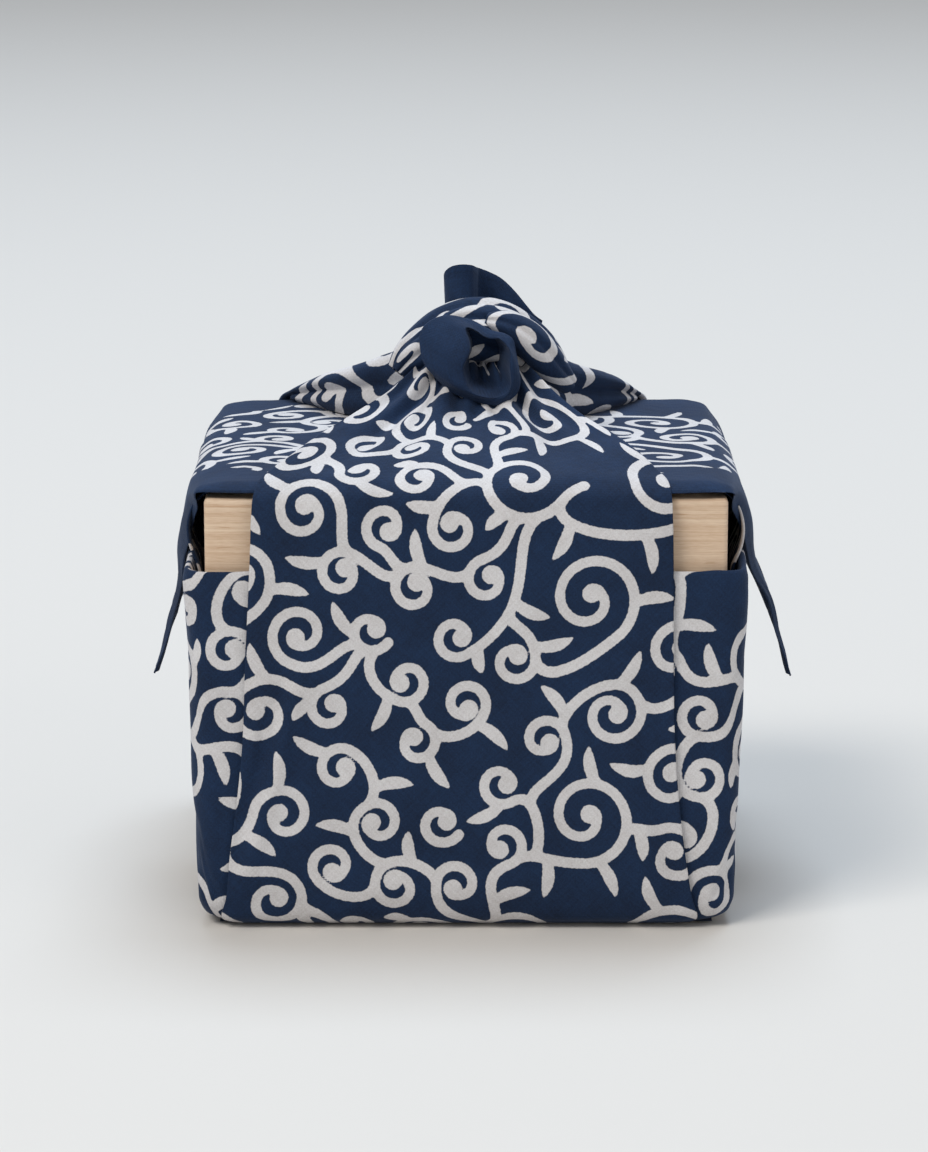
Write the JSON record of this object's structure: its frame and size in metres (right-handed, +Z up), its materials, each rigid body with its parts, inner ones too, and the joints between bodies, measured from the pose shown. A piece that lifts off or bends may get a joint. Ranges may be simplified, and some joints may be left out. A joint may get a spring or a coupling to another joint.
{
  "type": "furoshiki wrap on wooden box",
  "caption": "Square scroll-vine cotton wrapping cloth tied with a knot above a plain wooden box, with loose wings at the sides and bare wood at the corners.",
  "frame": {"origin": "middle of the flat bottom of the cloth under the box, on the surface that the bundle stands on", "axes": "+Z up, -Y towards the front, where the knot's cupped tail is, +X to the right seen from the front"},
  "size_m": [0.2386, 0.1928, 0.2194],
  "materials": {
    "cloth": "plain-weave cotton, resist printed in light grey on indigo, matt",
    "pine": "planed and unvarnished, matt"
  },
  "bodies": {
    "root": {"furoshiki": "cloth", "wooden_box": "pine"}
  },
  "joints": []
}
